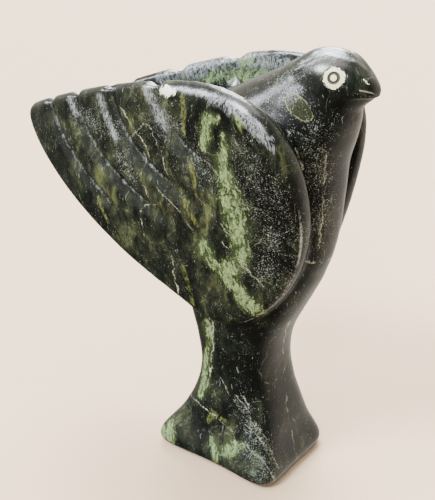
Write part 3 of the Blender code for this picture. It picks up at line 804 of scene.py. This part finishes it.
# Pale dust and a painted highlight lie along the back of each groove's line, and thin out before the groove
# ends
DUST_AND_HIGHLIGHT_SPAN = (0.06, 0.82)
DUST_AND_HIGHLIGHT_POINTS = 16
DUST_AND_HIGHLIGHT_BACK = 1.5
DUST_AND_HIGHLIGHT_OUT = 4.0
DUST_AND_HIGHLIGHT_RADII = (3.6, 2.2)


def stroke_field(co, strokes):
    """1 along a stroke's middle, 0 at its edge and below 0 outside, for each point."""
    field = np.full(len(co), -1.0)
    for stroke in strokes:
        gap, nearest, ahead, share = line_distance(co, stroke)
        radius = np.interp(share, np.arange(len(stroke)), [p[3] for p in stroke])
        field = np.maximum(field, 1.0 - gap / radius)
    return field


def edge_highlight_line(wing):
    """The painted highlight along the arris round the front of a wing, as a stroke."""
    x, z = inset_loop(wing_outline(wing), ARRIS_INSET).T
    front = (x > ARRIS_FROM_X) & (z < wing["crest"][1] - ARRIS_BELOW_CREST)
    x, z = x[front][::3], z[front][::3]
    y = wing["side"] * (wing_spread(wing, x, z) + ARRIS_OUT)
    return [(*place, ARRIS_RADIUS) for place in zip(x, y, z)]


def groove_lines(wing):
    """The back of each groove's line on a wing's outer face, as strokes that thin out: pale dust with a
    painted highlight.
    """
    strokes = []
    for groove in GROOVES:
        x, z = groove_line(groove, np.linspace(*DUST_AND_HIGHLIGHT_SPAN, DUST_AND_HIGHLIGHT_POINTS)).T
        y = wing["side"] * (wing_spread(wing, x, z) + DUST_AND_HIGHLIGHT_OUT)
        strokes.append(list(zip(x - DUST_AND_HIGHLIGHT_BACK, y, z, np.linspace(*DUST_AND_HIGHLIGHT_RADII, DUST_AND_HIGHLIGHT_POINTS))))
    return strokes


def line_offsets(co, normal, lines):
    """Signed offset from the nearest line, across the surface, and how near that line is."""
    offset = np.full(len(co), LINE_REACH)
    best = np.full(len(co), LINE_REACH)
    for line in lines:
        gap, nearest, ahead, share = line_distance(co, line)
        closer = gap < best
        aside = np.cross(ahead, normal)
        offset = np.where(closer, np.sum((co - nearest) * aside, axis=1), offset)
        best = np.where(closer, gap, best)
    return offset, 1.0 - best / LINE_REACH


def mark(obj, name, values):
    attribute = obj.data.attributes.new(name, "FLOAT", "POINT")
    attribute.data.foreach_set("value", values.astype(np.float32))


# Materials

def colour(text):
    """A linear colour from sRGB hex."""
    parts = [int(text[k:k + 2], 16) / 255.0 for k in (1, 3, 5)]
    return tuple(c / 12.92 if c <= 0.04045 else ((c + 0.055) / 1.055) ** 2.4 for c in parts) + (1.0,)


def per_mm(size):
    """Texture scale for a pattern whose features are this many millimetres apart."""
    return 1000.0 / size


NOISE = "ShaderNodeTexNoise"
MATH = "ShaderNodeMath"
VECTOR = "ShaderNodeVectorMath"
EASE = "ShaderNodeMapRange"
MIX = "ShaderNodeMix"


def add(tree, kind, sockets, out=0, **settings):
    """Add a node with its settings, fill or link its sockets, and give the output that is asked for."""
    node = tree.nodes.new(kind)
    for name, value in settings.items():
        setattr(node, name, value)
    for socket, value in sockets.items():
        if isinstance(value, bpy.types.NodeSocket):
            tree.links.new(value, node.inputs[socket])
        else:
            node.inputs[socket].default_value = value
    return node.outputs[out] if node.outputs else None


def serpentine():
    """Serpentine, black-green with mossy clouds, pale green veins and white talc specks.

    Rubbed with fine grit and waxed, so it shines softly, and the specks and scratches break that up.
    """
    material = bpy.data.materials.new("waxed serpentine")
    material.use_nodes = True
    tree = material.node_tree
    tree.nodes.clear()

    def shown(low, high, top, *parts):
        """A mask from a weighted sum of patterns: 0 where the sum is low, top where it is high."""
        total = 0.0
        for weight, pattern in parts:
            total = add(tree, MATH, {0: pattern, 1: weight, 2: total}, operation="MULTIPLY_ADD")
        return add(tree, EASE, {"Value": total, "From Min": low, "From Max": high, "To Max": top},
                   interpolation_type="SMOOTHSTEP")

    still = add(tree, "ShaderNodeTexCoord", {}, "Object")
    # The block's patterns wander by up to 10 mm
    drift = add(tree, NOISE, {"Vector": still, "Scale": per_mm(26.0), "Detail": 3.0}, "Color")
    centred = add(tree, VECTOR, {0: drift, 1: (-0.5, -0.5, -0.5)}, operation="ADD")
    bent = add(tree, VECTOR, {0: centred, 1: (0.02, 0.02, 0.02), 2: still}, operation="MULTIPLY_ADD")
    # Squeezed along an axis, a pattern runs along it. Veins and moss run down the block
    where = {"still": still, "bent": bent}
    for name, turn, squeeze in (("down", (0.0, 0.0, 0.0), 0.42), ("drawn", (0.0, 0.0, 0.0), 0.30),
                                ("brushed", (0.0, 0.9, 0.0), 0.25), ("rubbed 1", (0.3, 0.5, 0.2), 0.08),
                                ("rubbed 2", (1.2, -0.4, 0.9), 0.08), ("rubbed 3", (-0.7, 0.2, 1.6), 0.08)):
        where[name] = add(tree, "ShaderNodeMapping",
                          {"Vector": bent, "Rotation": turn, "Scale": (1.0, 1.0, squeeze)})
    # Each pattern: its name, its place, the millimetres between its features, detail and roughness
    noise_of = {}
    for name, place, size, detail, roughness in (
        ("cloud", "bent", 30.0, 6.0, 0.62), ("mass", "bent", 19.0, 3.0, 0.60),
        ("streak", "down", 9.0, 7.0, 0.68), ("torn", "down", 5.5, 6.0, 0.72),
        ("frayed", "drawn", 1.7, 3.0, 0.70), ("smear", "bent", 8.0, 6.0, 0.72),
        ("grit", "still", 2.6, 3.0, 0.70), ("grain", "still", 1.15, 2.0, 0.60),
        ("talc", "still", 0.80, 1.0, 0.60), ("crumb", "still", 1.3, 1.0, 0.60),
        ("brushed", "brushed", 1.1, 4.0, 0.70), ("rubbed 1", "rubbed 1", 1.1, 1.0, 0.60),
        ("rubbed 2", "rubbed 2", 1.1, 1.0, 0.60), ("rubbed 3", "rubbed 3", 1.1, 1.0, 0.60),
    ):
        noise_of[name] = add(tree, NOISE, {"Vector": where[place], "Scale": per_mm(size), "Detail": detail,
                                           "Roughness": roughness})
    cloud, mass, streak, torn, frayed, smear, grit, grain, talc, crumb = list(noise_of.values())[:10]
    painted = {}
    for name in PAINTED:
        painted[name] = add(tree, "ShaderNodeAttribute", {}, "Fac", attribute_name=name)

    # Black-green stone, olive and mossy where the block's clouds are, and darker where shade is painted
    moss = shown(-0.10, 1.10, 1.0, (1.9, streak), (1.2, cloud), (0.12, painted["moss"]),
                 (-0.14, painted["painted_shade"]), (0.40, frayed), (1.0, -1.41))
    ramp = add(tree, "ShaderNodeValToRGB", {"Fac": moss})
    stops = ramp.node.color_ramp.elements
    stops[0].position, stops[0].color = 0.14, colour("#070907")
    stops[1].position, stops[1].color = 0.93, colour("#3f482a")
    for position, text in ((0.37, "#0e130e"), (0.55, "#181d15"), (0.70, "#23271b"), (0.83, "#303624")):
        stop = stops.new(position)
        stop.color = colour(text)

    # Pale veins fade through olive into the stone. Noise tears their edges and opens their middles
    full_pale = add(tree, MATH, {0: painted["pale"], 1: 0.5}, operation="MINIMUM")
    full_ochre = add(tree, MATH, {0: painted["ochre"], 1: 0.45}, operation="MINIMUM")
    lip = shown(0.25, 0.9, 0.6, (1.0, painted["lip"]), (0.6, grain))
    halo = shown(0.55, 2.0, 0.75, (1.0, full_pale), (2.2, streak), (0.7, frayed))
    pale = shown(3.55, 4.30, 0.92, (1.0, full_pale), (3.6, torn), (2.6, frayed), (1.0, grain))
    ochre = shown(2.55, 3.35, 0.65, (1.0, full_ochre), (3.2, torn), (1.9, frayed))
    white = shown(2.1, 2.45, 1.0, (1.0, painted["white"]), (1.6, torn), (2.6, frayed))
    # An olive inclusion, in a thin pale skin
    olive = shown(0.65, 0.76, 1.0, (1.0, painted["olive"]), (1.2, smear))
    off_skin = add(tree, MATH, {0: smear, 1: 1.2, 2: painted["olive"]}, operation="MULTIPLY_ADD")
    off_skin = add(tree, MATH, {0: off_skin, 1: 0.63}, operation="SUBTRACT")
    off_skin = add(tree, MATH, {0: off_skin}, operation="ABSOLUTE")
    skin = add(tree, MATH, {0: shown(0.10, 0.03, 0.8, (1.0, off_skin)),
                            1: shown(0.40, 0.56, 1.0, (1.0, torn))}, operation="MULTIPLY")

    # Blue-grey bloom: smears of specks too fine to tell apart, and partly a painted sheen
    bloom_and_sheen = shown(0.76, 1.06, 0.5, (1.0, smear), (0.16, painted["bloom_and_sheen"]), (0.25, grit))
    # Pale dust in the grooves and on the scuffed rim, brushed along them, with painted highlights there and
    # on the crown
    # Along the back of each groove, pale dust with a painted highlight
    hollow = add(tree, MATH, {0: painted["hollow"], 1: 1.0, 2: -0.42}, operation="MULTIPLY_ADD")
    frost_and_highlight = add(tree, MATH, {0: painted["frost_and_highlight"], 1: hollow}, operation="MAXIMUM")
    frost_and_highlight = add(tree, MATH, {0: shown(1.0, 2.0, 0.55, (1.0, frost_and_highlight), (2.2, smear)),
                             1: shown(0.40, 0.62, 1.0, (1.0, noise_of["brushed"]))}, operation="MULTIPLY")
    # The pale line along the arris is a painted highlight
    arris_highlight = add(tree, MATH, {0: shown(0.0, 0.8, 0.6, (1.0, painted["edge"])),
                             1: shown(0.36, 0.60, 1.0, (1.0, grit))}, operation="MULTIPLY")
    dust_and_highlight = add(tree, MATH, {0: frost_and_highlight, 1: arris_highlight}, operation="MAXIMUM")

    # White specks of talc, thick in some places and nearly absent in others. Most real ones are
    # under 0.3 mm across, too fine to show, so they are drawn 0.4 to 0.9 mm across
    specks = add(tree, MATH, {
        0: shown(1.02, 1.26, 0.80, (1.0, talc), (0.50, smear), (0.40, mass), (0.10, painted["talc"])),
        1: shown(0.28, 0.70, 1.0, (1.0, grit))}, operation="MULTIPLY")
    specks = add(tree, MATH, {0: specks, 1: shown(0.74, 0.80, 0.7, (1.0, crumb))}, operation="MAXIMUM")

    # Short scratches left by the grit, along three directions. Real ones are under 0.1 mm wide,
    # too fine to show, so they are drawn about 0.4 mm wide
    scuffs = 0.0
    for name in ("rubbed 1", "rubbed 2", "rubbed 3"):
        scuffs = add(tree, MATH, {0: shown(0.90, 1.0, 0.6, (1.0, noise_of[name]), (0.34, smear)), 1: scuffs},
                     operation="MAXIMUM")

    # A web of hairline veins 20 to 40 mm apart, broken up
    gap = add(tree, "ShaderNodeTexVoronoi", {"Vector": bent, "Scale": per_mm(31.0)}, "Distance",
              feature="DISTANCE_TO_EDGE")
    web = add(tree, MATH, {0: shown(0.011, 0.002, 0.5, (1.0, gap)), 1: shown(0.50, 0.62, 1.0, (1.0, streak))},
              operation="MULTIPLY")
    # Healed cracks and long scratches wander about their lines and come and go. The mean of 9 and
    # 4 mm of noise is 6.5
    lines = []
    for name, half_width, strength in (("crack", 0.34, 0.9), ("scratch", 0.24, 0.7)):
        aside = add(tree, MATH, {0: smear, 1: 9.0, 2: painted[name]}, operation="MULTIPLY_ADD")
        aside = add(tree, MATH, {0: torn, 1: 4.0, 2: aside}, operation="MULTIPLY_ADD")
        aside = add(tree, MATH, {0: aside, 1: 6.5}, operation="SUBTRACT")
        aside = add(tree, MATH, {0: aside}, operation="ABSOLUTE")
        line = shown(half_width + 0.25, half_width - 0.15, strength, (1.0, aside))
        for share in (shown(0.62, 0.84, 1.0, (1.0, torn), (0.45, mass)),
                      shown(0.10, 0.35, 1.0, (1.0, painted[name + "_near"])),
                      shown(0.25, 0.60, 1.0, (1.0, grain))):
            line = add(tree, MATH, {0: line, 1: share}, operation="MULTIPLY")
        lines.append(line)

    # The eye, by the distance from its axis. Its edge was scraped in small scallops
    sides = add(tree, VECTOR, {0: still}, operation="ABSOLUTE")
    away = add(tree, VECTOR, {0: sides, 1: tuple(c * MM for c in EYE_CENTRE)}, operation="SUBTRACT")
    axis = tuple(Vector(EYE_AXIS).normalized())
    round_it = add(tree, VECTOR, {0: away, 1: axis}, operation="CROSS_PRODUCT")
    reach = add(tree, VECTOR, {0: round_it}, "Value", operation="LENGTH")
    heading = add(tree, VECTOR, {0: round_it}, operation="NORMALIZE")
    scallop = add(tree, NOISE, {"Vector": heading, "Scale": 3.2, "Detail": 2.0})
    edge = EYE_DISC - 0.5 * EYE_SCALLOP
    disc = shown((edge + 0.15) * MM, (edge - 0.15) * MM, 1.0, (1.0, reach), (-EYE_SCALLOP * MM, scallop))
    off_ring = add(tree, MATH, {0: reach, 1: EYE_RING * MM}, operation="SUBTRACT")
    off_ring = add(tree, MATH, {0: off_ring}, operation="ABSOLUTE")
    ring = shown((EYE_RING_WIDTH + 0.15) * MM, (EYE_RING_WIDTH - 0.15) * MM, 1.0, (1.0, off_ring))

    vein = {"data_type": "RGBA", "blend_type": "MIX"}
    light = shown(0.68, 1.22, 1.0, (1.0, frayed), (0.9, grain))
    green = add(tree, MIX, {0: light, 6: colour("#32452a"), 7: colour("#7a9162")}, 2, **vein)
    rust = add(tree, MIX, {0: light, 6: colour("#2c3216"), 7: colour("#666e38")}, 2, **vein)
    tone = ramp
    for mask, over in (
        (halo, colour("#2c3a20")),
        (olive, colour("#1d220c")),
        # bloom with painted sheen
        (bloom_and_sheen, colour("#5b666b")),
        # pale dust with painted highlights
        (dust_and_highlight, colour("#a3adb1")),
        (ochre, rust),
        (pale, green),
        (web, colour("#5f6b50")),
        (specks, colour("#808b83")),
        (scuffs, colour("#737f7a")),
        (lines[0], colour("#a3aa94")),
        (lines[1], colour("#99a091")),
        (skin, colour("#7b8354")),
        (lip, colour("#8d948b")),
        (white, colour("#d8dacb")),
        (disc, colour("#cfd0a4")),
        (ring, colour("#25241a")),
    ):
        tone = add(tree, MIX, {0: mask, 6: tone, 7: over}, 2, **vein)

    dull = 0.0
    for mask in (specks, pale, bloom_and_sheen, frost_and_highlight):
        dull = add(tree, MATH, {0: mask, 1: dull}, operation="MAXIMUM")
    rough = 0.13
    for weight, mask in ((0.22, streak), (0.16, dull), (0.30, disc)):
        rough = add(tree, MATH, {0: mask, 1: weight, 2: rough}, operation="MULTIPLY_ADD")
    pitted = add(tree, MATH, {0: specks, 1: -0.5, 2: grain}, operation="MULTIPLY_ADD")
    bump = add(tree, "ShaderNodeBump", {"Height": pitted, "Strength": 0.3, "Distance": 0.00022})
    shader = add(tree, "ShaderNodeBsdfPrincipled",
                 {"Base Color": tone, "Roughness": rough, "Normal": bump, "IOR": 1.5})
    add(tree, "ShaderNodeOutputMaterial", {"Surface": shader})
    return material


def make_bird():
    pieces = [
        shaped_ball("body", BODY_SEGMENTS, BODY_RINGS, body_place),
        shaped_ball("head", HEAD_SEGMENTS, HEAD_RINGS, head_place),
        shaped_ball("back", BACK_SEGMENTS, BACK_RINGS, back_place),
        shaped_ball("right wing", WING_SEGMENTS, WING_RINGS, wing_place(RIGHT_WING)),
        shaped_ball("left wing", WING_SEGMENTS, WING_RINGS, wing_place(LEFT_WING)),
    ]
    bpy.ops.object.select_all(action="DESELECT")
    for piece in pieces:
        piece.select_set(True)
    bpy.context.view_layer.objects.active = pieces[0]
    bpy.ops.object.join()
    bird = bpy.context.object
    bird.name = "carved_bird"
    bird.data.name = "carved_bird"

    skin = bird.modifiers.new("one skin", "REMESH")
    skin.mode = "VOXEL"
    skin.voxel_size = VOXEL * MM
    apply_all(bird)
    keep_largest(bird)
    smoothed(bird, 0.5, SKIN_RUBS)
    cut_grooves(bird)
    smoothed(bird, 0.5, GROOVE_RUBS)

    bpy.ops.object.mode_set(mode="EDIT")
    bpy.ops.mesh.select_all(action="SELECT")
    bpy.ops.mesh.bisect(plane_co=(0.0, 0.0, 0.0), plane_no=(0.0, 0.0, 1.0), use_fill=True, clear_inner=True)
    bpy.ops.object.mode_set(mode="OBJECT")
    unevenness(bird)
    shape_head(bird)
    cut_face(bird)
    bpy.ops.object.shade_smooth_by_angle(angle=radians(50.0))

    co = points_of(bird) / MM
    for name, strokes in STROKES.items():
        mark(bird, name, stroke_field(co, strokes))
    # A painted highlight along the arris, and pale dust with a painted highlight along each groove
    mark(bird, "edge", stroke_field(co, [edge_highlight_line(RIGHT_WING), edge_highlight_line(LEFT_WING)]))
    mark(bird, "hollow", stroke_field(co, groove_lines(RIGHT_WING) + groove_lines(LEFT_WING)))
    for name, lines in (("crack", CRACKS), ("scratch", SCRATCHES)):
        offset, near = line_offsets(co, normals_of(bird), lines)
        mark(bird, name, offset)
        mark(bird, name + "_near", near)
    bird.data.materials.clear()
    bird.data.materials.append(serpentine())
    return bird


bpy.ops.object.select_all(action="DESELECT")
bird = make_bird()
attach(bird, "root")
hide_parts("stone_bird")

# Stage: a plain pale floor under soft studio light

FLOOR_SIZE = 60.0
CAMERA_PLACE = (0.30110, -0.42931, 0.39710)
CAMERA_DOWN = 24.5
CAMERA_TURN = 36.9
CAMERA_LENS = 60.65
# Each soft lamp: the direction that it stands in, the degrees that it fills, strength and tint
LAMPS = [
    ("softbox overhead", (-0.10, -0.10, 0.99), 50.0, 3.2, "#fffaf5"),
    ("softbox behind the head", (-0.34, 0.35, 0.87), 32.0, 11.0, "#f6f8ff"),
    ("low softbox behind the head", (-0.45, 0.79, 0.42), 18.0, 2.6, "#f6f8ff"),
    ("softbox before the near wing", (-0.26, -0.63, 0.73), 20.0, 8.0, "#f6f8ff"),
    ("softbox beside the feathers", (-0.75, -0.38, 0.54), 15.0, 2.0, "#f6f8ff"),
    ("softbox before the breast", (0.26, -0.78, 0.57), 13.0, 1.8, "#f6f8ff"),
    ("low side panel", (-0.45, -0.89, 0.04), 40.0, 0.2, "#f6f4ee"),
]
# The room glows above and behind the carving, and is dark behind the camera. Each glow:
# its direction, the cosines where it starts and is full, and its strength
ROOM_GLOWS = [((-0.46, 0.33, 0.82), -0.1, 1.0, 1.2), ((0.35, 0.90, -0.25), 0.0, 0.9, 1.2)]
ROOM_LEAST = 0.12


def make_floor():
    bpy.ops.mesh.primitive_plane_add(size=FLOOR_SIZE)
    floor = bpy.context.object
    floor.name = "floor"
    plain = bpy.data.materials.new("plain pale floor")
    plain.use_nodes = True
    plain.node_tree.nodes["Principled BSDF"].inputs["Base Color"].default_value = colour("#b79f83")
    plain.node_tree.nodes["Principled BSDF"].inputs["Roughness"].default_value = 0.9
    floor.data.materials.append(plain)
    # The polish shows the lamps and the dark room, not the pale floor
    floor.visible_glossy = False
    return floor


def make_camera():
    lens = bpy.data.cameras.new("camera")
    camera = bpy.data.objects.new("camera", lens)
    bpy.context.scene.collection.objects.link(camera)
    bpy.context.scene.camera = camera
    lens.sensor_fit = "VERTICAL"
    lens.sensor_height = 36.0
    lens.lens = CAMERA_LENS
    camera.location = CAMERA_PLACE
    camera.rotation_euler = (radians(90.0 - CAMERA_DOWN), 0.0, radians(CAMERA_TURN))


def make_lamp(name, toward, spread, strength, tint):
    light = bpy.data.lights.new(name, "SUN")
    light.angle = radians(spread)
    light.energy = strength
    light.color = colour(tint)[:3]
    holder = bpy.data.objects.new(name, light)
    bpy.context.scene.collection.objects.link(holder)
    holder.location = Vector(toward) * 2.0
    holder.rotation_euler = Vector(toward).to_track_quat("Z", "Y").to_euler()


def make_room():
    world = bpy.data.worlds.new("studio")
    world.use_nodes = True
    sky = world.node_tree
    look = add(sky, "ShaderNodeTexCoord", {}, "Generated")
    strength = ROOM_LEAST
    for toward, low, high, gain in ROOM_GLOWS:
        along = add(sky, VECTOR, {0: look, 1: toward}, "Value", operation="DOT_PRODUCT")
        glow = add(sky, EASE, {"Value": along, "From Min": low, "From Max": high, "To Max": gain},
                   interpolation_type="SMOOTHSTEP")
        strength = add(sky, MATH, {0: glow, 1: strength}, operation="ADD")
    sky.links.new(strength, sky.nodes["Background"].inputs["Strength"])
    sky.nodes["Background"].inputs["Color"].default_value = colour("#efe6d6")
    bpy.context.scene.world = world


floor = make_floor()
make_camera()
for lamp in LAMPS:
    make_lamp(*lamp)
make_room()
